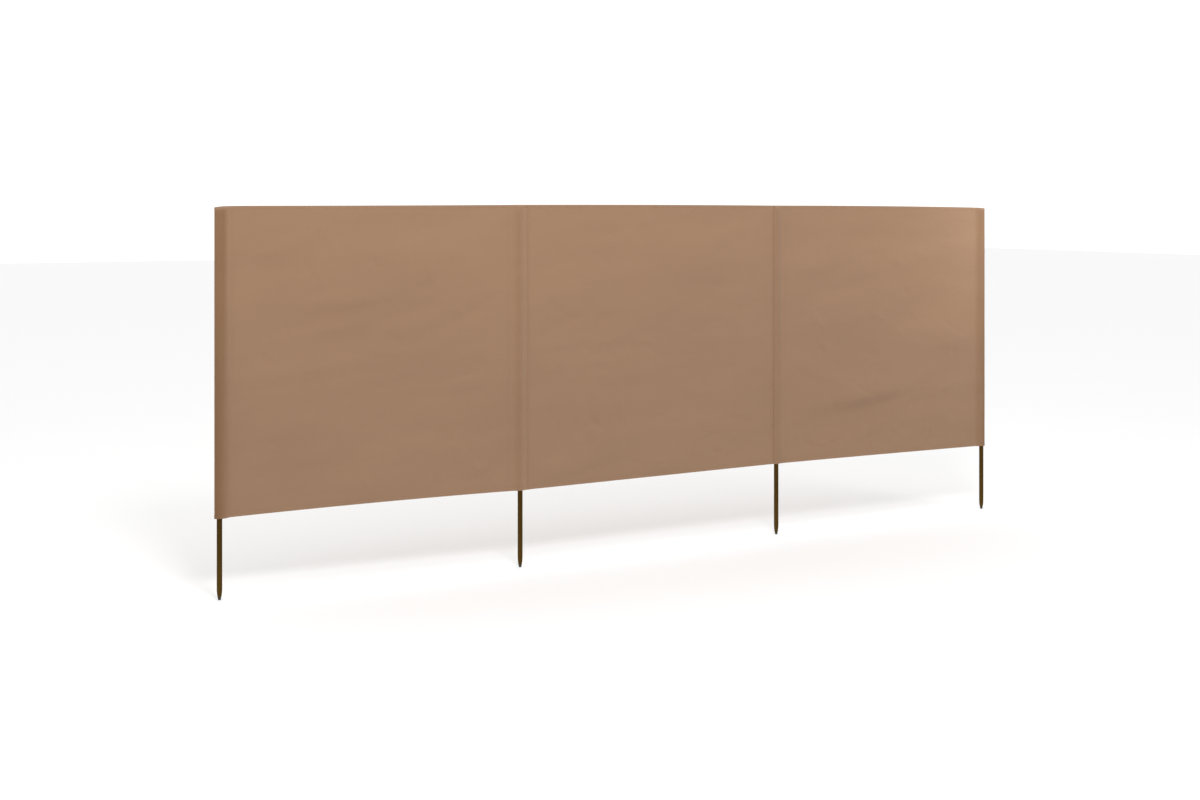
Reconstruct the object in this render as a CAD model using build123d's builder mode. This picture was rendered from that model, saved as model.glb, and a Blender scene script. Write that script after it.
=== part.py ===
"""Beach windbreak: three bays of cloth on four pointed poles.

Millimetres, +Z up. The origin is the flat end of the second pole's point, seen from the front, with the poles
numbered from the left. +X runs along the middle bay to the third pole and +Y points to the back.
"""
import os

from build123d import *

# Overall layout
total_height = 1600.0  # from the pole points to the top of the cloth
cloth_height = 1260.0
middle_bay = 1366.0  # between the two inner pole axes
end_bay = 1297.0  # from an inner pole axis to the end pole axis
left_turn = -3.75  # degrees that each end bay stands turned from the middle one, seen from above
right_turn = -0.8

# Poles
pole_diameter = 22.0
pole_wall = 1.2
taper_start = 48.0  # height at which the swaged lower end begins to narrow
taper_end_diameter = 16.0
nose_length = 14.0
nose_tip_diameter = 10.4
nose_rounding = 3.0
plug_length = 12.0  # part of the nose plug that is pushed up into the tube

# Cloth
cloth = 1.2  # one layer, drawn thicker than the real one
seat = 0.3  # gap left between pieces that touch in the real one
sleeve_slack = 0.4  # round loops stand this far off their poles
edge_beyond_pole = 20.0  # end sleeves: from the pole axis to the outer fold
edge_fold_radius = 6.0
slack_width = 14.0  # end sleeves: the loop stays open this far past the pole before it closes to the seam
seam_offset = 38.0  # end sleeves: from the pole axis to the start of the lapped seam
seam_lap = 12.0
closing_height = 12.0  # the top of a sleeve slopes together from this far below its closing seam
hem_height = 12.0
hem_start = 40.0  # hems keep this far from the inner pole axes, so that a folded bay clears the next one

# Values that follow from the sizes above
pole_radius = pole_diameter / 2
taper_end_radius = taper_end_diameter / 2
loop_radius = pole_radius + sleeve_slack + cloth  # outside of a round loop
lap_half = cloth * 1.5 + seat  # half the thickness of two layers with the panel between them
cloth_bottom = total_height - cloth_height
pole_top = total_height - closing_height - seat
panel_bottom = cloth_bottom + cloth + 2 * seat
panel_top = total_height - cloth - 2 * seat


def bay_plane(turn, origin):
    """Level plane at the ground whose x direction runs along a bay that stands turned from the middle one."""
    return Plane(origin=origin, z_dir=(0, 0, 1)).rotated((0, 0, turn))


# Each bay's plane starts on its left pole, and its length is pole axis to pole axis
left_origin = Vector(-end_bay, 0, 0).rotate(Axis.Z, left_turn)
bays = {
    "left": (bay_plane(left_turn, left_origin), end_bay),
    "middle": (bay_plane(0, (0, 0, 0)), middle_bay),
    "right": (bay_plane(right_turn, (middle_bay, 0, 0)), end_bay),
}
pole_places = [
    left_origin,
    Vector(0, 0, 0),
    Vector(middle_bay, 0, 0),
    bays["right"][0].from_local_coords(Vector(end_bay, 0, 0)),
]


def write(piece, name):
    """Label a finished piece and write it to its own file."""
    piece.part.label = name
    export_step(piece.part, f"parts/{name}.step")


def make_pole(place, name):
    """Round tube, open at the top, swaged at the lower end to a slender point."""
    upright = Plane(origin=place, x_dir=(1, 0, 0), z_dir=(0, -1, 0))
    with BuildPart() as pole:
        with BuildSketch(upright):
            with BuildLine():
                Line((pole_radius, pole_top), (pole_radius, taper_start))
                TangentArc((pole_radius, taper_start), (taper_end_radius, nose_length), tangent=(0, -1))
                Line((taper_end_radius, nose_length), (taper_end_radius - pole_wall, nose_length))
                TangentArc(
                    (pole_radius - pole_wall, taper_start),
                    (taper_end_radius - pole_wall, nose_length),
                    tangent=(0, -1),
                )
                Line((pole_radius - pole_wall, taper_start), (pole_radius - pole_wall, pole_top))
                Line((pole_radius - pole_wall, pole_top), (pole_radius, pole_top))
            make_face()
        revolve(axis=Axis(place, (0, 0, 1)))
    write(pole, name)


def make_pole_point(place, name):
    """Nose plug: a blunt rounded end with a small flat, and a spigot that is pushed up into the tube."""
    upright = Plane(origin=place, x_dir=(1, 0, 0), z_dir=(0, -1, 0))
    spigot_radius = taper_end_radius - pole_wall - seat
    with BuildPart() as point:
        with BuildSketch(upright):
            with BuildLine():
                FilletPolyline(
                    (0, 0),
                    (nose_tip_diameter / 2, 0),
                    (taper_end_radius, nose_length),
                    radius=nose_rounding,
                )
                Polyline(
                    (taper_end_radius, nose_length),
                    (spigot_radius, nose_length),
                    (spigot_radius, nose_length + plug_length),
                    (0, nose_length + plug_length),
                    (0, 0),
                )
            make_face()
        revolve(axis=Axis(place, (0, 0, 1)))
    write(point, name)


def ground_section(plane):
    """Upright plane across a bay at a pole: x to the back of the bay, y up from the ground."""
    return Plane(origin=plane.origin, x_dir=plane.y_dir, z_dir=plane.x_dir)


def pocket_space(plane, outline, inset):
    """The space inside a sleeve's surface, drawn in by an inset, with the roof that closes the top.

    The two layers slope together above the pole's end and meet in the closing seam.
    """
    half_depth = loop_radius - inset
    half_seam = lap_half - inset
    with BuildPart() as roof:
        with BuildSketch(ground_section(plane)):
            Polygon(
                (-half_depth, 0),
                (half_depth, 0),
                (half_depth, total_height - closing_height),
                (half_seam, total_height - inset),
                (-half_seam, total_height - inset),
                (-half_depth, total_height - closing_height),
                align=None,
            )
        extrude(amount=2 * seam_offset + 2 * seam_lap, both=True)
    with BuildPart() as space:
        with BuildSketch(plane.offset(cloth_bottom)):
            add(outline)
        extrude(amount=cloth_height)
        add(roof.part, mode=Mode.INTERSECT)
    return space.part


def make_sleeve(plane, outline, name):
    """Loop of cloth round a pole, open below and sewn shut at the top. The outline is a function of the inset."""
    with BuildPart() as sleeve:
        add(pocket_space(plane, outline(0), 0))
        add(pocket_space(plane, outline(cloth), cloth), mode=Mode.SUBTRACT)
    write(sleeve, name)


def round_outline(inset):
    """Plan of an inner sleeve, which turns on its pole as a bay is swung, drawn in by an inset."""
    with BuildSketch() as outline:
        Circle(loop_radius - inset)
    return outline.sketch


def flat_outline(inset):
    """Plan of an end sleeve, with the pole at the origin and the bay along +x, drawn in by an inset.

    The cloth runs round the pole and a loose fold outside it, closes to two flat layers at the seam, and laps
    over the panel's edge.
    """
    with BuildSketch() as outline:
        with Locations((0, 0), (slack_width, 0)):
            Circle(loop_radius - inset)
        with Locations((edge_fold_radius - edge_beyond_pole, 0)):
            Circle(edge_fold_radius - inset)
        with Locations((seam_offset, 0)):
            Circle(lap_half - inset)
        make_hull()
        with Locations((seam_offset + seam_lap / 2, 0)):
            Rectangle(seam_lap, 2 * (lap_half - inset))
    return outline.sketch


def make_panel(plane, start, end, name):
    """Flat sheet of cloth between two sleeves, its upper and lower edges inside the hems."""
    with BuildPart() as panel:
        with BuildSketch(plane.offset(panel_bottom)):
            with Locations(((start + end) / 2, 0)):
                Rectangle(end - start, cloth)
        extrude(amount=panel_top - panel_bottom)
    write(panel, name)


def make_hem(plane, start, end, edge_height, inward, name):
    """Cloth turned over the panel's edge: two layers and a rounded fold, running from start to end of a bay.

    The fold's outermost line is at edge_height, and inward is 1 for a lower hem and -1 for an upper one.
    """
    section = ground_section(plane).offset(start)
    fold_centre = edge_height + inward * lap_half
    leg_centre = edge_height + inward * (lap_half + hem_height) / 2
    with BuildPart() as hem:
        with BuildSketch(section):
            with Locations((0, fold_centre)):
                Circle(lap_half)
            with Locations((0, leg_centre)):
                Rectangle(2 * lap_half, hem_height - lap_half)
            with Locations((0, fold_centre)):
                Circle(lap_half - cloth, mode=Mode.SUBTRACT)
            with Locations((0, leg_centre)):
                Rectangle(2 * (lap_half - cloth), hem_height - lap_half, mode=Mode.SUBTRACT)
        extrude(amount=end - start)
    write(hem, name)


os.makedirs("parts", exist_ok=True)

for number, place in enumerate(pole_places, start=1):
    make_pole(place, f"pole_{number}")
    make_pole_point(place, f"pole_point_{number}")

make_sleeve(bays["left"][0], flat_outline, "sleeve_1")
make_sleeve(bays["middle"][0], round_outline, "sleeve_2")
make_sleeve(bays["right"][0], round_outline, "sleeve_3")
make_sleeve(bay_plane(right_turn + 180, pole_places[3]), flat_outline, "sleeve_4")

for side, (plane, length) in bays.items():
    # A panel meets the outside of a round loop, or lies in the lap of an end sleeve
    panel_start = loop_radius + seat
    panel_end = length - loop_radius - seat
    first = hem_start
    last = length - hem_start
    if side == "left":
        panel_start = seam_offset
        first = seam_offset + seam_lap + seat
    if side == "right":
        panel_end = length - seam_offset
        last = length - seam_offset - seam_lap - seat
    make_panel(plane, panel_start, panel_end, f"{side}_panel")
    make_hem(plane, first, last, cloth_bottom, 1, f"{side}_bottom_hem")
    make_hem(plane, first, last, total_height, -1, f"{side}_top_hem")
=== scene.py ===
"""Looks of a three-bay beach windbreak.

Cloth, hems, seams and stitches on coated poles, in a plain soft studio. Lengths are in metres.
"""
import math

import bpy
import numpy as np
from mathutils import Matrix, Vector


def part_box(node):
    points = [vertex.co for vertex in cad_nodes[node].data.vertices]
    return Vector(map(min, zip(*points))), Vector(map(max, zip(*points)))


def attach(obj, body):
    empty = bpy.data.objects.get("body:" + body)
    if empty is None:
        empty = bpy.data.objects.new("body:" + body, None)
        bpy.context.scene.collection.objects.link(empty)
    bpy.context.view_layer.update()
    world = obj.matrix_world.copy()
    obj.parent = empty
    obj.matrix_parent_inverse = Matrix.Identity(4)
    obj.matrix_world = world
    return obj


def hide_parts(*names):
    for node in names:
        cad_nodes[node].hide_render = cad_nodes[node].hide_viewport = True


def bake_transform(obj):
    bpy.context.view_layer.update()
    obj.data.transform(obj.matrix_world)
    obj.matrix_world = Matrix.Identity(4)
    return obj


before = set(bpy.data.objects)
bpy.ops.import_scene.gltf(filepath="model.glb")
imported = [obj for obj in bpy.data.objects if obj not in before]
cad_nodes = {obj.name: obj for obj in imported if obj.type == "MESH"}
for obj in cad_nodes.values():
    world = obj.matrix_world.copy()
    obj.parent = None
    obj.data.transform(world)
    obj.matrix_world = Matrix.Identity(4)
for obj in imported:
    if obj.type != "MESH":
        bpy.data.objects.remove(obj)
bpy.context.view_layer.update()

# Cloth
CLOTH = 0.0007  # one layer
LAYER = 0.0015  # layers that are sewn together lie this far apart
LOOP = 0.0122  # from a pole's axis to the middle of the cloth round it
COLUMN = 0.008  # mesh spacing where the cloth is nearly flat
FINE = 0.0022  # mesh spacing where it goes round a pole
SHARP = math.radians(50)  # faces that meet at a steeper angle than this have a sharp edge between them

# End pockets, measured inward from the end pole's axis
FOLD = 0.020  # the outer fold lies this far outside the axis
SLACK = 0.016  # the loop stays open this far past the pole
BULGE = 0.0012  # and is this much deeper there
END_SEAM = 0.046  # here the two layers have come together
END_LAP = 0.055  # the back layer ends here

# Inner pockets, measured from the inner pole's axis
GENTLE = 0.052  # the outer bay's cloth begins to rise towards the pole
GENTLE_CURVE = 2.2  # how hollow that rise is
CREASE = {"left": 0.034, "right": 0.020}  # on the middle bay's side the cloth is sewn down in a crease
CREASE_CURVE = {"left": 1.6, "right": 1.25}  # how hollow the way down to the crease is
DOWN = 0.001  # the cloth is all the way down this far before the crease
DUCK = 0.004  # and goes under the middle bay's folded edge over this distance
TAIL = 0.008  # and on this far under the middle bay's cloth
STRIP_OUT = 0.058  # the strip behind the pole reaches this far into the outer bay
STRIP_IN = 0.014  # and this far past the crease into the middle bay
STRIP_CLOSED = 0.012  # it has come to the cloth this far past the crease
STRIP_CURVE = 1.8  # how hollow its way there is
STRIP_LAP = 0.4  # by the crease it lies this share of a layer further back

# The middle bay's cloth has a folded edge at each crease
EDGE_ROUND = 0.0008  # radius of the fold
EDGE_STEP = 0.5  # radians between the mesh's columns on the fold
EDGE_UNDER = 0.010  # the cloth's own edge lies back this far under the fold
EDGE_LIP = 0.0020  # the folded edge stands this far in front of the bay
EDGE_RUN = 0.016  # and comes down to it over this distance

# Painted shade where a pole or more layers lie behind the cloth and hold back the light that comes through
# it, as shares of the pocket's shade colour. A reach says where the painted shade begins to fade and where
# it is gone
END_PAINTED_SHADE = {"left": (1.0, 0.70), "right": (0.75, 0.56)}  # end pockets, at the bottom and at the top
END_REACH = ((-FOLD, 0.055), (0.014, 0.036))  # at the bottom and at the top, inward from the pole's axis
CROSSING_PAINTED_SHADE = 0.22  # inner pockets
CROSSING_REACH = ((0.004, 0.045), (0.002, 0.010))  # towards the outer bay, and towards the middle bay
SEAM_PAINTED_SHADE = 0.20  # painted shade along the seam beside the left crease, for its stitch shadows and the light its extra layers hold back
SEAM_MIDDLE = 0.006  # it lies this far inside the crease
SEAM_REACH = (0.001, 0.006)  # to either side of the seam's middle
OVER_POLE = 0.030  # from this far below the top edge upward, the pole no longer fills the pocket
PAINTED_SHADE_AT_TOP = 0.20  # share of the pocket's painted shade that is left at the top edge

# Waves up a pocket: share of its depth, radians per metre of height, and where they start
POCKET_WAVES = ((0.03, 9, 2.0), (0.02, 23, 0.0))

# Hems, and the seam that closes the top of a pocket
HEM = 0.012
HEM_HALF = 0.0010  # half the thickness of a hem at its fold
HEM_WAIST = 0.92  # share of that thickness at its legs
HEM_LEGS = (0.0035, 0.007)  # heights of the corners up a leg's outside
HEM_LIP = 0.0006  # a leg's outside ends this far before its edge and slopes in to the cloth
HEM_GAP = 0.0001  # between a hem and the cloth inside it
CLOSING = 0.008  # the top of a pocket slopes together over this height
CLOSING_CURVE = 2.5  # how round that slope is
CLOSING_ROWS = 6  # the mesh's rows over that height

# Stitches
STITCH = 0.0030
STITCH_GAP = 0.0012
THREAD = 0.00028  # radius
THREAD_PLACE = (-0.5, -0.3, 0.3, 0.5)  # sections of one thread, in shares of a stitch
THREAD_RISE = (-0.6, 0.55, 0.55, -0.6)  # how far each section is raised, in radii
THREAD_WIDTH = (0.6, 1.0, 1.0, 0.6)  # and its own radius
HEM_SEAM = 0.002  # a hem is sewn this far from its free edge
END_SEAMS = (END_SEAM + 0.003, END_LAP - 0.002)  # upright seams of an end pocket, from its pole's axis
STRIP_SEAMS = (-STRIP_OUT + 0.003, -GENTLE - 0.002)  # upright seams of a strip, from the inner pole's axis
CREASE_SEAMS = (0.0028, 0.0072)  # upright seams beside a crease, from the crease
SEAM_SHORT = 2  # an upright seam leaves out this many of the mesh's rows at the top and bottom

# Soft folds of the cloth: long ones that lean up to the right, and small crumples.
# A lean is a mean and a spread in degrees, a half length or half width a least and a greatest value
LONG_FOLDS = 48
LONG_HEIGHT = 0.0052
LONG_LIMIT = 1.5  # no long fold is deeper than this many times LONG_HEIGHT
LONG_LEAN = (9, 8)
LONG_HALF_LENGTH = (0.16, 0.45)
LONG_HALF_WIDTH = (0.030, 0.070)
LONG_MARGIN = 0.05  # their middles keep this far from the cloth's top and bottom
SMALL_FOLDS = 160
SMALL_HEIGHT = 0.0023
SMALL_LEAN = (0, 35)
SMALL_HALF_LENGTH = (0.024, 0.075)
SMALL_HALF_WIDTH = (0.014, 0.027)
SMALL_MARGIN = 0.06
SMALL_SPAN = (0.03, 0.97)  # they lie between these shares of the bay's length
SMALL_SINK = 1.5  # the higher this power, the more of them lie low down
SEED = {"left": 4, "middle": 11, "right": 23}

# Poles and edges hold the cloth smooth
CALM_AT_POLE = 0.05  # there are no soft folds nearer to a pole's axis than this
CALM_RUN = 0.13  # and they grow to their full depth over this distance
CALM_AT_EDGE = 0.08  # from the top and bottom they grow over this height
EDGE_FOLDS = 0.2  # starting with this share of their depth

# How far the cloth's edges hang above the CAD's, at the start, the middle and the end of each bay
TOP_HANG = {
    "left": (-0.0015, 0.001, 0.005),
    "middle": (0.005, 0.0065, 0.0045),
    "right": (-0.0040, 0.003, 0.0045),
}
BOTTOM_HANG = {
    "left": (-0.0095, 0.0005, 0.0),
    "middle": (0.0, 0.002, 0.004),
    "right": (-0.006, 0.0, 0.004),
}
CORNER_DIP = {"left": 0.0065, "middle": 0.0, "right": 0.0035}  # the outer top corners droop this much more
CORNER_RUN = 0.03  # the droop fades along the top over about this distance
CORNER_POWER = 12  # and the higher this power, the sooner it fades below the top

# Cloth and thread that cross an inner pole would turn round it, but nothing here turns them
TURN_RUN = 0.020  # within this distance on either side of the pole's axis

# Looks
CLOTH_COLOUR = (0.300, 0.181, 0.109)
DARKEST = 0.90  # the cloth's unevenness goes from this share of its colour
LIGHTEST = 1.09  # to this one
MIDDLE_TONE = 0.40  # and lies here between them low down
PAINTED_TOP_LIGHT = 0.30  # and, as painted light, this much higher at the top, where more light falls
PAINTED_TOP_LIGHT_FROM = 0.4  # rising from this share of the cloth's height
HEM_PAINTED_LIGHT = 1.03  # painted light: hems this much lighter than the rest of the cloth, where their folds catch the light
PAINTED_POCKET_SHADE = (0.665, 0.580, 0.455, 1)  # painted shade: the colour where the cloth lies on a pole and less light comes through it
WEAVE = 0.00095  # width of one yarn
PATCH_LEAN = math.radians(7)  # patches of tone run up to the right, as the long folds do
WEAR_HEIGHT = 0.24  # poles are worn below this height
WEAR_FULL = 0.05  # and most of all below this one

# The studio's wall is white on one side and low down all round. Higher up, its other side is dimmer
WALL = (0.0, 0.78, 0.62)  # direction of the white side
WALL_LIGHT = 1.15
DIM_SIDE = 0.24
WALL_EDGE = (-0.6, 0.35)  # from dim to white, as the share of a direction that points to the white side
HORIZON = (0.06, 0.24)  # the low white ends between these, as the height of a direction


def pole_axis(number):
    """Where a pole stands, seen from above."""
    low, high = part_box(f"pole_{number}")
    return np.array([(low.x + high.x) / 2, (low.y + high.y) / 2])


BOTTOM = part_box("sleeve_2")[0].z
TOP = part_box("sleeve_2")[1].z


class Bay:
    """One bay of cloth between two poles. Places in it are given by along, depth and height.

    Along runs from the pole that the bay starts on, depth to the back, and height up from the ground.
    """

    def __init__(self, side, start, end, back_sign):
        self.side = side
        self.start = pole_axis(start)
        line = pole_axis(end) - self.start
        self.length = float(np.hypot(*line))
        self.along = line / self.length
        self.back = np.array([-self.along[1], self.along[0]]) * back_sign
        self.flipped = back_sign < 0
        rng = np.random.default_rng(SEED[side])
        self.folds = [self.long_fold(rng) for _ in range(LONG_FOLDS)]
        self.folds += [self.small_fold(rng) for _ in range(SMALL_FOLDS)]

    def long_fold(self, rng):
        """One long soft fold: its middle, lean, half length, half width and depth."""
        return {
            "along": rng.uniform(0.0, 1.0) * self.length,
            "height": rng.uniform(BOTTOM + LONG_MARGIN, TOP - LONG_MARGIN),
            "lean": math.radians(rng.normal(*LONG_LEAN)) * (-1 if self.flipped else 1),
            "half_length": rng.uniform(*LONG_HALF_LENGTH),
            "half_width": rng.uniform(*LONG_HALF_WIDTH),
            "depth": float(np.clip(rng.normal(0, 1), -LONG_LIMIT, LONG_LIMIT)) * LONG_HEIGHT,
        }

    def small_fold(self, rng):
        """One small crumple, described in the same way."""
        span = TOP - BOTTOM - 2 * SMALL_MARGIN
        return {
            "along": rng.uniform(*SMALL_SPAN) * self.length,
            "height": BOTTOM + SMALL_MARGIN + span * rng.uniform(0.0, 1.0) ** SMALL_SINK,
            "lean": math.radians(rng.normal(*SMALL_LEAN)),
            "half_length": rng.uniform(*SMALL_HALF_LENGTH),
            "half_width": rng.uniform(*SMALL_HALF_WIDTH),
            "depth": rng.normal(0, 1) * SMALL_HEIGHT,
        }

    def relief(self, along, height):
        """How far the cloth's soft folds push it to the front or back."""
        depth = np.zeros(np.broadcast(along, height).shape)
        for fold in self.folds:
            x = along - fold["along"]
            z = height - fold["height"]
            cos = math.cos(fold["lean"])
            sin = math.sin(fold["lean"])
            lengthwise = (x * cos + z * sin) / fold["half_length"]
            across = (z * cos - x * sin) / fold["half_width"]
            depth = depth + fold["depth"] * np.exp(-lengthwise**2 - across**2)
        from_pole = (np.minimum(along, self.length - along) - CALM_AT_POLE) / CALM_RUN
        from_edge = np.minimum(height - BOTTOM, TOP - height) / CALM_AT_EDGE
        at_edge = EDGE_FOLDS + (1 - EDGE_FOLDS) * ease(np.clip(from_edge, 0, 1))
        return depth * ease(np.clip(from_pole, 0, 1)) * at_edge

    def lift(self, along, height):
        """How far the cloth hangs above the CAD's, at a place."""
        share = np.clip(along / self.length, 0, 1)
        edges = []
        for start, centre, end in (BOTTOM_HANG[self.side], TOP_HANG[self.side]):
            straight = start + (end - start) * share
            edges.append(straight + (centre - (start + end) / 2) * 4 * share * (1 - share))
        upward = (height - BOTTOM) / (TOP - BOTTOM)
        fade = np.exp(-np.clip(along + FOLD, 0, None) / CORNER_RUN)
        dip = CORNER_DIP[self.side] * fade * upward**CORNER_POWER
        return edges[0] * (1 - upward) + edges[1] * upward - dip

    def place(self, along, depth, height):
        """Points in the row frame."""
        along, depth, height = np.broadcast_arrays(along, depth, height)
        flat = self.start + along[..., None] * self.along + depth[..., None] * self.back
        return np.concatenate([flat, height[..., None]], axis=-1)


def ease(share):
    """Smooth step from 0 to 1."""
    return share * share * (3 - 2 * share)


def spaced(start, end, step):
    """Evenly spaced values from start to end, both included."""
    return np.linspace(start, end, max(2, round(abs(end - start) / step) + 1))


def distances(points):
    """Distance along a line of points, from the first one."""
    steps = np.linalg.norm(np.diff(points, axis=0), axis=1)
    return np.concatenate([[0], np.cumsum(steps)])


def end_depth(inward):
    """Half the depth of an end pocket, at a distance inward from the end pole's axis."""
    outside = LOOP * np.sqrt(np.clip(1 - (inward / FOLD) ** 2, 0, 1))
    inside = LOOP + BULGE * ease(np.clip(inward / SLACK, 0, 1))
    closing = 1 - ease(np.clip((inward - SLACK) / (END_SEAM - SLACK), 0, 1))
    return np.where(inward < 0, outside, inside * closing)


def inner_depth(offset, reach, curve):
    """Half the depth of an inner pocket, at an offset from the inner pole's axis, where it closes at reach.

    The cloth hugs the pole up to where its way out to the seam leaves the circle without a corner.
    """
    distance = np.abs(offset)
    root = math.sqrt(reach**2 + 4 * (curve - 1) * curve * LOOP**2)
    hug = (root - reach) / (2 * (curve - 1))
    on_pole = np.sqrt(np.clip(LOOP**2 - distance**2, 0, None))
    share = np.clip((distance - hug) / (reach - hug), 0, 1)
    return np.where(distance < hug, on_pole, math.sqrt(LOOP**2 - hug**2) * (1 - share) ** curve)


def painted_shade_fade(distance, within, gone):
    """Fade of the painted pocket shade: 1 where the pole fills the pocket, down to 0 further off."""
    return 1 - ease(np.clip((distance - within) / (gone - within), 0, 1))


def crossing_painted_shade(offset):
    """Share of painted pocket shade at an offset from an inner pole, the same at the bottom and at the top.
    """
    outer, inner = CROSSING_REACH
    share = np.where(offset < 0, painted_shade_fade(-offset, *outer), painted_shade_fade(offset, *inner))
    return CROSSING_PAINTED_SHADE * np.stack([share, share])


def loop_painted_shade(side, inward):
    """Share of painted pocket shade round an end pole, at the bottom and at the top of the cloth."""
    shades = zip(END_PAINTED_SHADE[side], END_REACH)
    return np.stack([shade * painted_shade_fade(inward, *reach) for shade, reach in shades])


# A path is a cloth seen from above, from one edge to the other. It holds along and depth for each column of
# the mesh, the share of soft folds there, and the share of painted pocket shade at the bottom and at the
# top


def outer_cloth_path(bay):
    """Path of an end bay's cloth.

    It starts at the lap behind the end pocket, goes round the pole and the outer fold, across the bay,
    over the front of the inner pole, and ends under the middle bay's cloth.
    """
    crease = CREASE[bay.side]
    turn = spaced(math.pi / 2, math.pi, FINE / LOOP)[1:]
    back = np.concatenate([spaced(END_LAP, 0, FINE), FOLD * np.cos(turn)])
    front = back[::-1][1:]
    front = front[front < END_SEAM]
    flat = spaced(END_SEAM, bay.length - GENTLE, COLUMN)
    over = spaced(bay.length - GENTLE, bay.length + crease + TAIL, FINE)[1:]
    lap = LAYER * ease(np.clip((back + FOLD) / FOLD, 0, 1))
    apart = np.sqrt(end_depth(back) ** 2 + lap**2)
    offset = over - bay.length
    gentle = inner_depth(offset, GENTLE, GENTLE_CURVE)
    steep = inner_depth(offset, crease - DOWN, CREASE_CURVE[bay.side])
    under_edge = EDGE_ROUND * ease(np.clip((offset - crease + DUCK / 2) / DUCK, 0, 1))
    rise = np.where(offset < 0, gentle, steep) - under_edge
    along = np.concatenate([back, front, flat, over])
    depth = np.concatenate([apart, -end_depth(front), np.zeros(len(flat)), -rise])
    folds = np.concatenate([np.zeros(len(back) + len(front)), np.ones(len(flat)), np.zeros(len(over))])
    # Painted pocket shade round the end pole and over the inner pole
    loop = loop_painted_shade(bay.side, np.concatenate([back, front]))
    pocket = np.concatenate([loop, np.zeros((2, len(flat))), crossing_painted_shade(offset)], axis=1)
    return along, depth, folds, pocket


def folded_edge(crease):
    """The middle cloth's folded edge, from under it to inside the bay.

    Gives each column's distance from the pole and depth, and how many columns lie under the fold or on it.
    """
    turn = spaced(math.pi / 2, 3 * math.pi / 2, EDGE_STEP)[1:-1]
    under = spaced(crease + EDGE_UNDER, crease + EDGE_ROUND, FINE)
    over = spaced(crease + EDGE_ROUND, crease + EDGE_RUN, FINE)
    over = np.concatenate([over, [crease + EDGE_RUN + COLUMN]])
    place = np.concatenate([under, crease + EDGE_ROUND + EDGE_ROUND * np.cos(turn), over])
    drop = 1 - ease(np.clip((place - crease) / EDGE_RUN, 0, 1))
    layer = np.concatenate([np.ones(len(under)), np.sin(turn), -drop[-len(over):]])
    return place, EDGE_ROUND * layer - EDGE_LIP * drop, len(under) + len(turn)


def middle_cloth_path(bay):
    """Path of the middle bay's cloth, which is sewn over the ends of the other two."""
    start, start_depth, _ = folded_edge(CREASE["left"])
    end, end_depth, _ = folded_edge(CREASE["right"])
    flat = spaced(start[-1], bay.length - end[-1], COLUMN)[1:-1]
    along = np.concatenate([start, flat, bay.length - end[::-1]])
    depth = np.concatenate([start_depth, np.zeros(len(flat)), end_depth[::-1]])
    folds = np.concatenate([np.zeros(len(start)), np.ones(len(flat)), np.zeros(len(end))])
    # Painted shade beside the left crease, for the stitch shadows and the light the extra layers hold back
    sewn = SEAM_PAINTED_SHADE * painted_shade_fade(np.abs(along - CREASE["left"] - SEAM_MIDDLE), *SEAM_REACH)
    return along, depth, folds, np.stack([sewn, sewn])


def strip_path(bay):
    """Path of the strip behind an inner pole, in the frame of the end bay beside it."""
    crease = CREASE[bay.side]
    along = spaced(bay.length - STRIP_OUT, bay.length + crease + STRIP_IN, FINE)
    offset = along - bay.length
    gentle = inner_depth(offset, GENTLE, GENTLE_CURVE)
    steep = inner_depth(offset, crease + STRIP_CLOSED, STRIP_CURVE)
    lap = LAYER * (1 + STRIP_LAP * ease(np.clip(offset / crease, 0, 1)))
    rise = np.where(offset < 0, gentle, steep)
    return along, np.sqrt(rise**2 + lap**2), np.zeros(len(along)), crossing_painted_shade(offset)


def hem_path(bay, path):
    """The part of a cloth's path that its hems follow: not what lies under another cloth."""
    if bay.side == "middle":
        first = folded_edge(CREASE["left"])[2]
        last = folded_edge(CREASE["right"])[2]
        return tuple(values[..., first:-last] for values in path)
    keep = path[0] < bay.length + CREASE[bay.side] - DOWN
    return tuple(values[..., keep] for values in path)


# Heights of a cloth's rows: even below, closer where the pockets close
ROWS = np.concatenate(
    [
        spaced(BOTTOM, TOP - CLOSING, COLUMN),
        spaced(TOP - CLOSING, TOP, CLOSING / CLOSING_ROWS)[1:],
    ]
)


def openness(height):
    """How open a pocket still is at a height: 1 below, 0 at the seam that closes its top."""
    below = np.clip((TOP - height) / CLOSING, 0, 1)
    return 1 - (1 - below) ** CLOSING_CURVE


def surface(bay, path, height):
    """Points of a cloth at some heights, one row for each height."""
    along, depth, folds, _ = path
    z = np.asarray(height)[:, None]
    wave = 1
    for share, turn, start in POCKET_WAVES:
        wave = wave + share * np.sin(turn * z + start)
    in_pocket = np.abs(depth) > LAYER
    open_depth = np.where(in_pocket, depth * wave, depth)
    shut = depth if bay.side == "middle" else np.sign(depth) * np.minimum(np.abs(depth), LAYER / 2)
    deep = shut + (open_depth - shut) * openness(z)
    deep = deep + folds * bay.relief(along, z)
    return bay.place(along, deep, z + bay.lift(along, z))


def run_lengths(bay, path):
    """Distance along a cloth from its first edge, for each column, counted to the right."""
    lengths = distances(bay.place(path[0], path[1], 0.0))
    return -lengths if bay.flipped else lengths


def flat_size(bay, path):
    """Width and height of a cloth laid flat."""
    return abs(float(run_lengths(bay, path)[-1])), TOP - BOTTOM


def grid_normals(grid):
    """Unit normals of a grid of points."""
    across = np.gradient(grid, axis=1)
    up = np.gradient(grid, axis=0)
    normal = np.cross(across, up)
    return normal / np.linalg.norm(normal, axis=-1, keepdims=True)


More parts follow.
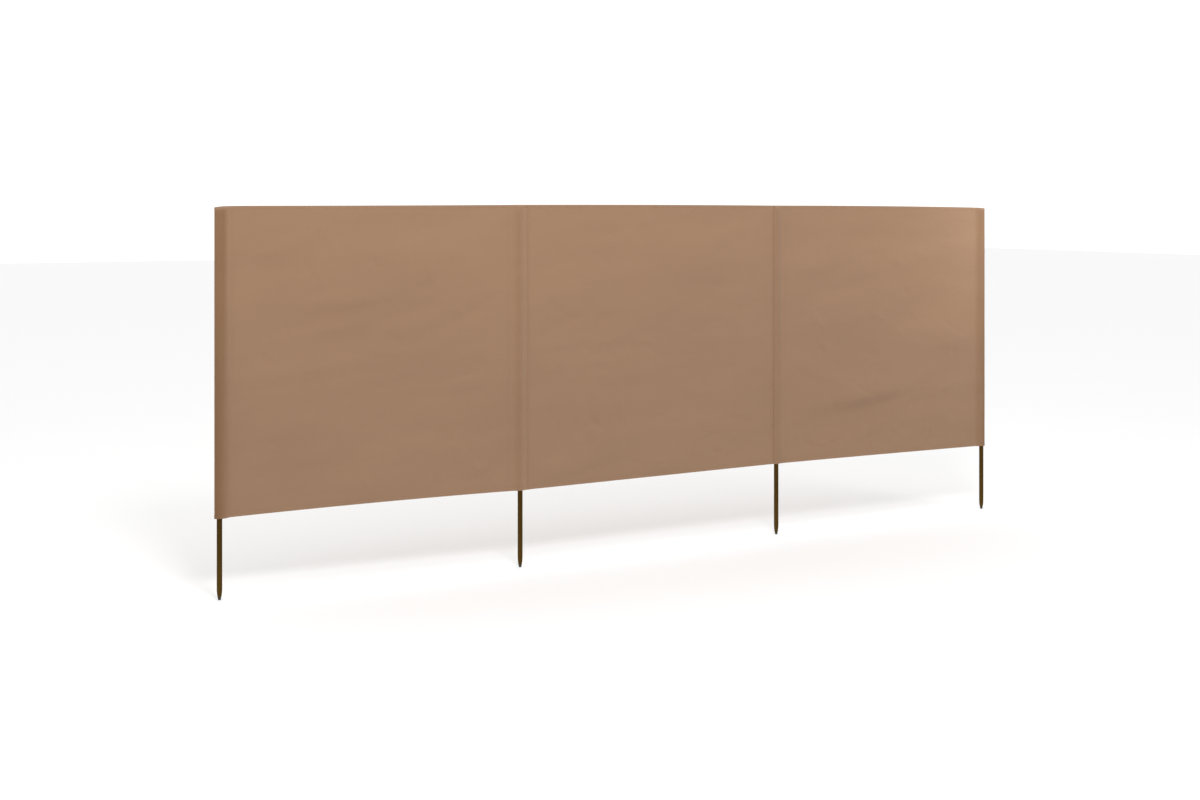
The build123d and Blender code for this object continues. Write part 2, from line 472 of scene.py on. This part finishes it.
def new_object(name, points, faces, uv=None):
    """Mesh object with smooth faces and sharp folds.

    The map, if there is one, says where each point lies on the flat cloth.
    """
    mesh = bpy.data.meshes.new(name)
    mesh.from_pydata(points.tolist(), [], faces)
    mesh.polygons.foreach_set("use_smooth", [True] * len(mesh.polygons))
    mesh.set_sharp_from_angle(angle=SHARP)
    if uv is not None:
        layer = mesh.uv_layers.new(name="flat_cloth")
        corner_points = np.zeros(len(mesh.loops), np.int32)
        mesh.loops.foreach_get("vertex_index", corner_points)
        layer.data.foreach_set("uv", uv[corner_points].astype(np.float32).ravel())
    mesh.validate()
    mesh.update()
    piece = bpy.data.objects.new(name, mesh)
    bpy.context.scene.collection.objects.link(piece)
    return piece


def band_faces(rows, columns, closed=False):
    """Quads between the rows and columns of a grid of points. If closed, the last row meets the first."""
    number = np.arange(rows * columns).reshape(rows, columns)
    if closed:
        number = np.concatenate([number, number[:1]])
    quads = np.stack([number[:-1, :-1], number[:-1, 1:], number[1:, 1:], number[1:, :-1]], axis=-1)
    return quads.reshape(-1, 4)


def mark_painted_shade(piece, share):
    """Notes for the cloth's material how much painted pocket shade each point gets."""
    layer = piece.data.attributes.new("pocket", "FLOAT", "POINT")
    layer.data.foreach_set("value", share.astype(np.float32))


def make_cloth(name, bay, path):
    """A cloth as one sheet with two faces and a rim."""
    grid = surface(bay, path, ROWS)
    rows, columns = grid.shape[:2]
    normal = grid_normals(grid)
    front = grid + normal * CLOTH / 2
    back = grid - normal * CLOTH / 2
    points = np.concatenate([front.reshape(-1, 3), back.reshape(-1, 3)])
    size = rows * columns
    face = band_faces(rows, columns)
    number = np.arange(size).reshape(rows, columns)
    rim = np.concatenate([number[0, :-1], number[:-1, -1], number[-1, :0:-1], number[:0:-1, 0]])
    after = np.roll(rim, -1)
    edge = np.stack([rim, rim + size, after + size, after], axis=-1)
    faces = np.concatenate([face, face[:, ::-1] + size, edge])
    height = grid[..., 2]
    uv = np.stack([np.tile(run_lengths(bay, path), rows), height.reshape(-1)], axis=-1)
    piece = new_object(name, points, faces.tolist(), np.concatenate([uv, uv]))
    # Painted pocket shade, blended from bottom to top, and lighter at the top where the pole no longer
    # fills the pocket
    bottom_painted_shade, top_painted_shade = path[3]
    upward = ease(np.clip((height - BOTTOM) / (TOP - BOTTOM), 0, 1))
    over_pole = ease(np.clip((TOP - height) / OVER_POLE, 0, 1))
    share = bottom_painted_shade * (1 - upward) + top_painted_shade * upward
    share = share * (PAINTED_SHADE_AT_TOP + (1 - PAINTED_SHADE_AT_TOP) * over_pole)
    mark_painted_shade(piece, np.tile(share.reshape(-1), 2))
    return piece


def hem_profile():
    """Section of a hem round the cloth's edge: depth and height of each point of a closed outline."""
    half_inside = CLOTH / 2 + HEM_GAP
    turn = np.linspace(math.pi, 2 * math.pi, 7)
    outer = np.stack([HEM_HALF * np.cos(turn), HEM_HALF * (1 + np.sin(turn))], axis=-1)
    inner = np.stack([half_inside * np.cos(turn), HEM_HALF + half_inside * np.sin(turn)], axis=-1)
    legs = np.array([*HEM_LEGS, HEM - HEM_LIP])
    front = np.stack([np.full(len(legs), -HEM_HALF * HEM_WAIST), legs[::-1]], axis=-1)
    back = front[::-1] * [-1, 1]
    front_end = [[-half_inside, HEM]]
    back_end = [[half_inside, HEM]]
    return np.concatenate([front_end, front, outer, back, back_end, inner[::-1]])


def edge_frame(bay, path, height):
    """Points along a cloth at one height, and the direction that faces its back there."""
    point = surface(bay, path, [height])[0]
    run = np.gradient(point, axis=0)
    run[:, 2] = 0
    run /= np.linalg.norm(run, axis=1, keepdims=True)
    away = np.stack([-run[:, 1], run[:, 0], np.zeros(len(run))], axis=-1)
    return point, away * (-1 if bay.flipped else 1)


def hem(name, bay, path, at_top):
    """A cloth's edge turned over and sewn: two layers and a rounded fold that follow the edge."""
    edge = TOP if at_top else BOTTOM
    inward = -1 if at_top else 1
    lines = []
    for depth, rise in hem_profile():
        point, away = edge_frame(bay, path, edge + inward * rise)
        lines.append(point + away * depth)
    grid = np.stack(lines)
    rows, columns = grid.shape[:2]
    points = grid.reshape(-1, 3)
    first_column = np.arange(rows) * columns
    faces = band_faces(rows, columns, closed=True).tolist()
    faces += [first_column.tolist(), (first_column + columns - 1)[::-1].tolist()]
    if at_top == bay.flipped:
        faces = [face[::-1] for face in faces]
    uv = np.stack([np.tile(run_lengths(bay, path), rows), points[:, 2]], axis=-1)
    piece = new_object(name, points, faces, uv)
    # A hem takes the painted pocket shade of the cloth's edge
    bottom_painted_shade, top_painted_shade = path[3]
    mark_painted_shade(piece, np.tile(top_painted_shade * PAINTED_SHADE_AT_TOP if at_top else bottom_painted_shade, rows))
    return piece


def between(places, run, values):
    """Values at some places along a seam, from the values at its own points."""
    return np.stack([np.interp(places, run, values[:, axis]) for axis in range(3)], axis=-1)


def unit(vectors):
    """The vectors, each at length 1."""
    return vectors / np.linalg.norm(vectors, axis=1, keepdims=True)


def stitches(name, seams):
    """One piece of many short threads. A seam is its points, and the cloth's outward direction at each."""
    corner = np.array([[-1, 0], [0, 1], [1, 0], [0, -1]])
    place = np.array(THREAD_PLACE) * STITCH
    rise = np.array(THREAD_RISE) * THREAD
    width = np.array(THREAD_WIDTH) * THREAD
    forward = place[:, None, None]
    outward = (rise[:, None] + width[:, None] * corner[:, 1])[..., None]
    sideways = (width[:, None] * corner[:, 0])[..., None]
    threads = []
    for points, directions in seams:
        run = distances(points)
        count = max(1, int(run[-1] / (STITCH + STITCH_GAP)))
        middles = (np.arange(count) + 0.5) * run[-1] / count
        centre = between(middles, run, points)
        ahead = between(middles + STITCH / 2, run, points)
        behind = between(middles - STITCH / 2, run, points)
        out = unit(between(middles, run, directions))
        along = unit(ahead - behind)
        across = np.cross(along, out)
        shape = (
            along[:, None, None] * forward
            + out[:, None, None] * outward
            + across[:, None, None] * sideways
        )
        threads.append((centre[:, None, None] + shape).reshape(-1, 3))
    points = np.concatenate(threads)
    template = []
    for section in range(3):
        for side in range(4):
            a = section * 4 + side
            b = section * 4 + (side + 1) % 4
            template.append([a, b, b + 4, a + 4])
    template += [[3, 2, 1, 0], [12, 13, 14, 15]]
    starts = np.arange(0, len(points), 16)
    faces = (np.array(template)[None] + starts[:, None, None]).reshape(-1, 4)
    return new_object(name, points, faces.tolist())


def level_seam(bay, path, height, face):
    """A row of stitches along a hem at one height, on its front (-1) or back (1)."""
    point, away = edge_frame(bay, path, height)
    return point + away * face * HEM_HALF, away * face


def upright_seam(bay, along, depth, face):
    """A row of stitches up a bay at one place, on its front (-1) or back (1)."""
    z = ROWS[SEAM_SHORT:-SEAM_SHORT]
    return bay.place(along, depth, z), bay.place(0.0, float(face), z) - bay.place(0.0, 0.0, z)


def bay_seams(bay, path):
    """Seams of one bay: along both hems on both faces."""
    seams = []
    for height in (BOTTOM + HEM - HEM_SEAM, TOP - HEM + HEM_SEAM):
        for face in (-1, 1):
            seams.append(level_seam(bay, hem_path(bay, path), height, face))
    return seams


def end_bay_seams(bay, path):
    """Seams of an end bay: its hems, the end pocket's lap, and the strip behind the inner pole."""
    seams = bay_seams(bay, path)
    for along in (*END_SEAMS, *(bay.length + offset for offset in STRIP_SEAMS)):
        seams.append(upright_seam(bay, along, -CLOTH / 2, -1))
        seams.append(upright_seam(bay, along, LAYER + CLOTH / 2, 1))
    return seams


def middle_bay_seams(bay, path):
    """Seams of the middle bay: its hems, and the creases beside the inner poles."""
    seams = bay_seams(bay, path)
    seen_along, seen_depth, _, _ = hem_path(bay, path)
    for inward in CREASE_SEAMS:
        for along in (CREASE["left"] + inward, bay.length - CREASE["right"] - inward):
            depth = np.interp(along, seen_along, seen_depth)
            seams.append(upright_seam(bay, along, depth - CLOTH / 2, -1))
            seams.append(upright_seam(bay, along, (1 + STRIP_LAP) * LAYER + CLOTH / 2, 1))
    return seams


# The end bays start on their end pole, so that left and right share one shape
left = Bay("left", 1, 2, 1)
middle = Bay("middle", 2, 3, 1)
right = Bay("right", 4, 3, -1)
bays = (left, middle, right)
paths = {
    "left": outer_cloth_path(left),
    "middle": middle_cloth_path(middle),
    "right": outer_cloth_path(right),
}

# Pieces
cloths = {bay.side: make_cloth(f"{bay.side}_cloth", bay, paths[bay.side]) for bay in bays}
strips = {bay.side: make_cloth(f"{bay.side}_pocket_strip", bay, strip_path(bay)) for bay in (left, right)}
hems = {}
for bay in bays:
    along_edge = hem_path(bay, paths[bay.side])
    hems[bay.side] = [
        hem(f"{bay.side}_bottom_hem_cloth", bay, along_edge, False),
        hem(f"{bay.side}_top_hem_cloth", bay, along_edge, True),
    ]
threads = {}
for bay in bays:
    find_seams = middle_bay_seams if bay is middle else end_bay_seams
    threads[bay.side] = stitches(f"{bay.side}_stitches", find_seams(bay, paths[bay.side]))


# Materials
def node_material(name):
    """A new material, with its nodes, its links and its shader."""
    material = bpy.data.materials.new(name)
    material.use_nodes = True
    nodes = material.node_tree.nodes
    return material, nodes, material.node_tree.links, nodes["Principled BSDF"]


def math_node(nodes, links, operation, *values):
    """Output of a math node. A value is a number or another node's output."""
    node = nodes.new("ShaderNodeMath")
    node.operation = operation
    for socket, value in zip(node.inputs, values):
        if isinstance(value, (int, float)):
            socket.default_value = value
        else:
            links.new(value, socket)
    return node.outputs[0]


def range_node(nodes, links, value, start, end, low=0.0, high=1.0, smooth=True):
    """Goes from low, where the value is start, to high, where it is end, and no further."""
    node = nodes.new("ShaderNodeMapRange")
    node.interpolation_type = "SMOOTHSTEP" if smooth else "LINEAR"
    node.inputs["From Min"].default_value = start
    node.inputs["From Max"].default_value = end
    node.inputs["To Min"].default_value = low
    node.inputs["To Max"].default_value = high
    links.new(value, node.inputs["Value"])
    return node.outputs["Result"]


def axis_node(nodes, links, vector, axis):
    """One axis of a vector."""
    node = nodes.new("ShaderNodeSeparateXYZ")
    links.new(vector, node.inputs[0])
    return node.outputs[axis]


def noise_node(nodes, links, vector, scale, detail, roughness=0.5):
    """Output of a noise texture."""
    node = nodes.new("ShaderNodeTexNoise")
    node.inputs["Scale"].default_value = scale
    node.inputs["Detail"].default_value = detail
    node.inputs["Roughness"].default_value = roughness
    links.new(vector, node.inputs["Vector"])
    return node.outputs["Fac"]


def scaled(nodes, links, vector, scale, lean=0.0):
    """A vector turned by an angle and stretched by three factors."""
    node = nodes.new("ShaderNodeMapping")
    node.vector_type = "TEXTURE"
    node.inputs["Scale"].default_value = [1 / factor for factor in scale]
    node.inputs["Rotation"].default_value = (0, 0, lean)
    links.new(vector, node.inputs["Vector"])
    return node.outputs["Vector"]


def ramp_node(nodes, links, value, low, high):
    """Colours from low, where the value is 0, to high, where it is 1."""
    node = nodes.new("ShaderNodeValToRGB")
    node.color_ramp.elements[0].color = (*low, 1)
    node.color_ramp.elements[1].color = (*high, 1)
    links.new(value, node.inputs["Fac"])
    return node.outputs["Color"]


def bump_node(nodes, links, height, distance, strength, under=None):
    """Normal raised by a height, over an earlier normal if there is one."""
    node = nodes.new("ShaderNodeBump")
    node.inputs["Distance"].default_value = distance
    node.inputs["Strength"].default_value = strength
    links.new(height, node.inputs["Height"])
    if under is not None:
        links.new(under, node.inputs["Normal"])
    return node.outputs["Normal"]


def weave_height(nodes, links, flat):
    """Height of a plain weave: crosswise yarns over upright ones in a chequer, each yarn rounded."""
    yarns = scaled(nodes, links, flat, (1 / WEAVE, 1 / WEAVE, 1))
    rounded = []
    cells = []
    for axis in ("X", "Y"):
        count = axis_node(nodes, links, yarns, axis)
        wave = math_node(nodes, links, "SINE", math_node(nodes, links, "MULTIPLY", count, math.pi))
        rounded.append(math_node(nodes, links, "ABSOLUTE", wave))
        cells.append(math_node(nodes, links, "FLOOR", count))
    odd = math_node(nodes, links, "PINGPONG", math_node(nodes, links, "ADD", *cells), 1.0)
    even = math_node(nodes, links, "SUBTRACT", 1.0, odd)
    crosswise = math_node(nodes, links, "MULTIPLY", odd, rounded[1])
    upright = math_node(nodes, links, "MULTIPLY", even, rounded[0])
    return math_node(nodes, links, "ADD", crosswise, upright)


def paint_pocket_shade(nodes, links, colour):
    """Painted pocket shade: the colour multiplied by the pocket's shade colour, as far as a point gets it.
    """
    pocket = nodes.new("ShaderNodeAttribute")
    pocket.attribute_name = "pocket"
    node = nodes.new("ShaderNodeMix")
    node.data_type = "RGBA"
    node.blend_type = "MULTIPLY"
    plain, shade = [socket for socket in node.inputs if socket.type == "RGBA"]
    shade.default_value = PAINTED_POCKET_SHADE
    links.new(pocket.outputs["Fac"], node.inputs[0])
    links.new(colour, plain)
    return next(socket for socket in node.outputs if socket.type == "RGBA")


def cloth_material(name, painted_brightness, creased):
    """Woven cloth in one warm brown, a little uneven, with its weave and its small creases. Its colour
    carries painted light, paler towards the top, and painted shade where it lies on a pole.
    """
    material, nodes, links, shader = node_material(name)
    flat = nodes.new("ShaderNodeUVMap")
    flat.uv_map = "flat_cloth"
    flat = flat.outputs["UV"]
    yarn = weave_height(nodes, links, flat)
    slub = noise_node(nodes, links, scaled(nodes, links, flat, (60, 900, 1)), 1.0, 2.0)
    leaning = scaled(nodes, links, flat, (1.6, 6.5, 1), PATCH_LEAN)
    patches = noise_node(nodes, links, leaning, 1.0, 4.0, 0.6)
    height = axis_node(nodes, links, flat, "Y")
    # Painted light: the colour grows paler towards the top, where more light falls
    upward = range_node(nodes, links, height, BOTTOM + PAINTED_TOP_LIGHT_FROM * (TOP - BOTTOM), TOP)
    tone = math_node(nodes, links, "MULTIPLY", upward, PAINTED_TOP_LIGHT)
    for part, weight in ((patches, 0.90), (slub, 0.20), (yarn, 0.15)):
        centred = math_node(nodes, links, "SUBTRACT", part, 0.5)
        tone = math_node(nodes, links, "ADD", tone, math_node(nodes, links, "MULTIPLY", centred, weight))
    tone = math_node(nodes, links, "ADD", tone, MIDDLE_TONE)
    # A factor above 1 is painted light
    colour = [painted_brightness * channel for channel in CLOTH_COLOUR]
    dark = [DARKEST * channel for channel in colour]
    light = [LIGHTEST * channel for channel in colour]
    # The cloth's colour with the painted pocket shade
    toned = paint_pocket_shade(nodes, links, ramp_node(nodes, links, tone, dark, light))
    links.new(toned, shader.inputs["Base Color"])
    rough = range_node(nodes, links, slub, 0.0, 1.0, 0.94, 0.80, smooth=False)
    links.new(rough, shader.inputs["Roughness"])
    shader.inputs["Specular IOR Level"].default_value = 0.25
    shader.inputs["Sheen Weight"].default_value = 0.10
    shader.inputs["Sheen Roughness"].default_value = 0.5
    normal = None
    if creased:
        creases = noise_node(nodes, links, scaled(nodes, links, flat, (9, 34, 1)), 1.0, 3.0, 0.45)
        normal = bump_node(nodes, links, creases, 0.0012, 0.35)
    links.new(bump_node(nodes, links, yarn, 0.00012, 0.6, normal), shader.inputs["Normal"])
    return material


def coating_material():
    """Dark brown satin powder coat: fine orange peel, and dulled where the pole rubs the sand."""
    material, nodes, links, shader = node_material("brown_powder_coat")
    place = nodes.new("ShaderNodeTexCoord").outputs["Object"]
    peel = noise_node(nodes, links, place, 1400, 2.0)
    blotch = noise_node(nodes, links, scaled(nodes, links, place, (60, 60, 9)), 1.0, 4.0)
    scratch = noise_node(nodes, links, scaled(nodes, links, place, (900, 900, 22)), 1.0, 3.0)
    low = range_node(nodes, links, axis_node(nodes, links, place, "Z"), WEAR_HEIGHT, WEAR_FULL)
    wear = math_node(nodes, links, "MULTIPLY", low, scratch)
    tone = math_node(nodes, links, "ADD", math_node(nodes, links, "MULTIPLY", blotch, 0.6), wear)
    colours = ramp_node(nodes, links, tone, (0.047, 0.024, 0.0025), (0.080, 0.043, 0.007))
    links.new(colours, shader.inputs["Base Color"])
    rough = math_node(nodes, links, "ADD", 0.46, math_node(nodes, links, "MULTIPLY", wear, 0.35))
    links.new(rough, shader.inputs["Roughness"])
    shader.inputs["Specular IOR Level"].default_value = 0.05
    links.new(bump_node(nodes, links, peel, 0.0001, 0.25), shader.inputs["Normal"])
    return material


def plastic_material():
    """Matt black moulded plastic with fine scratches from the sand."""
    material, nodes, links, shader = node_material("black_moulded_plastic")
    place = nodes.new("ShaderNodeTexCoord").outputs["Object"]
    grain = noise_node(nodes, links, place, 2200, 2.0)
    scratch = noise_node(nodes, links, scaled(nodes, links, place, (1500, 1500, 60)), 1.0, 4.0)
    colours = ramp_node(nodes, links, scratch, (0.010, 0.0085, 0.007), (0.030, 0.026, 0.022))
    links.new(colours, shader.inputs["Base Color"])
    rough = math_node(nodes, links, "ADD", 0.48, math_node(nodes, links, "MULTIPLY", scratch, 0.2))
    links.new(rough, shader.inputs["Roughness"])
    links.new(bump_node(nodes, links, grain, 0.00015, 0.3), shader.inputs["Normal"])
    return material


def thread_material():
    """Polyester thread, a little lighter and shinier than the cloth."""
    material, nodes, links, shader = node_material("sewing_thread")
    place = nodes.new("ShaderNodeTexCoord").outputs["Object"]
    twist = noise_node(nodes, links, scaled(nodes, links, place, (2600, 2600, 2600)), 1.0, 1.0)
    colours = ramp_node(nodes, links, twist, (0.27, 0.165, 0.10), (0.39, 0.25, 0.16))
    links.new(colours, shader.inputs["Base Color"])
    shader.inputs["Roughness"].default_value = 0.55
    shader.inputs["Sheen Weight"].default_value = 0.2
    return material


def give(material, pieces):
    """Sets the material of some pieces."""
    for piece in pieces:
        piece.data.materials.clear()
        piece.data.materials.append(material)


cloth_painted_light_and_shade = cloth_material("woven_cloth_painted_light_and_shade", 1.0, True)
# The hems get a lighter copy of the cloth: painted light on their folds
hem_painted_light_material = cloth_material("woven_cloth_hem_painted_light", HEM_PAINTED_LIGHT, False)
give(cloth_painted_light_and_shade, [*cloths.values(), *strips.values()])
give(hem_painted_light_material, [piece for pair in hems.values() for piece in pair])
give(thread_material(), threads.values())
give(coating_material(), [cad_nodes[f"pole_{number}"] for number in range(1, 5)])
give(plastic_material(), [cad_nodes[f"pole_point_{number}"] for number in range(1, 5)])


# What moves with what: only the middle bay's pieces are given a body
def across_pole(piece, bay):
    """Bakes the piece's place into its mesh. Places beside the inner pole are worked out, but not used."""
    start = bay.place(bay.length - TURN_RUN, 0.0, BOTTOM)
    end = bay.place(bay.length + TURN_RUN, 0.0, BOTTOM)
    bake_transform(piece)


for bay in (left, right):
    for piece in (cloths[bay.side], strips[bay.side], *hems[bay.side], threads[bay.side]):
        across_pole(piece, bay)
for piece in (cloths["middle"], *hems["middle"], threads["middle"]):
    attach(piece, "middle_bay")

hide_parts("left_panel", "sleeve_1")
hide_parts("middle_panel")
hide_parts("right_panel", "sleeve_4")
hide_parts("sleeve_2")
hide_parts("sleeve_3")
for side, (bottom, top) in hems.items():
    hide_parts(f"{side}_bottom_hem")
    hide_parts(f"{side}_top_hem")

for bay, poles in (
    (left, ["pole_1", "pole_2"]),
    (middle, ["pole_2", "pole_3"]),
    (right, ["pole_4", "pole_3"]),
):
    cut = flat_size(bay, paths[bay.side])
for bay, pole in ((left, "pole_2"), (right, "pole_3")):
    cut = flat_size(bay, strip_path(bay))

# Camera
camera_data = bpy.data.cameras.new("camera")
camera_data.lens = 41.35
camera_data.sensor_width = 36
camera_data.shift_y = -0.157
camera = bpy.data.objects.new("camera", camera_data)
camera.location = (-2.48, -5.593, 1.575)
camera.rotation_euler = (math.radians(90), 0, math.radians(-27.23))
bpy.context.scene.collection.objects.link(camera)
bpy.context.scene.camera = camera

# Floor
bpy.ops.mesh.primitive_plane_add(size=80, location=(0, 0, 0))
floor = bpy.context.object
floor.name = "floor"
floor_material, _, _, floor_shader = node_material("pale_floor")
floor_shader.inputs["Base Color"].default_value = (0.92, 0.92, 0.92, 1)
floor_shader.inputs["Roughness"].default_value = 0.9
floor_shader.inputs["Specular IOR Level"].default_value = 0.1
floor.data.materials.append(floor_material)

# Studio
world = bpy.data.worlds.new("soft_studio")
world.use_nodes = True
world_nodes = world.node_tree.nodes
world_links = world.node_tree.links
background = world_nodes["Background"]
background.inputs["Color"].default_value = (1, 1, 1, 1)
direction = world_nodes.new("ShaderNodeTexCoord").outputs["Generated"]
facing = world_nodes.new("ShaderNodeVectorMath")
facing.operation = "DOT_PRODUCT"
facing.inputs[1].default_value = WALL
world_links.new(direction, facing.inputs[0])
height = axis_node(world_nodes, world_links, direction, "Z")
wall_light = range_node(world_nodes, world_links, facing.outputs["Value"], *WALL_EDGE, DIM_SIDE, WALL_LIGHT)
low_light = range_node(world_nodes, world_links, height, HORIZON[1], HORIZON[0], 0.0, WALL_LIGHT)
brighter = math_node(world_nodes, world_links, "MAXIMUM", wall_light, low_light)
world_links.new(brighter, background.inputs["Strength"])
bpy.context.scene.world = world
bpy.context.scene.view_settings.view_transform = "Standard"


def soft_light(name, place, target, size, power):
    """A square area light that points at a target and is not seen itself."""
    light = bpy.data.lights.new(name, "AREA")
    light.size = size
    light.energy = power
    lamp = bpy.data.objects.new(name, light)
    lamp.location = place
    lamp.visible_camera = False
    lamp.rotation_euler = (Vector(target) - Vector(place)).to_track_quat("-Z", "Y").to_euler()
    bpy.context.scene.collection.objects.link(lamp)


soft_light("front_light", (-0.9, -4.4, 4.6), (0.3, 0.0, 1.2), size=1.4, power=119)
soft_light("side_light", (3.0, -0.8, 1.62), (2.62, 0.0, 1.38), size=0.35, power=4.2)
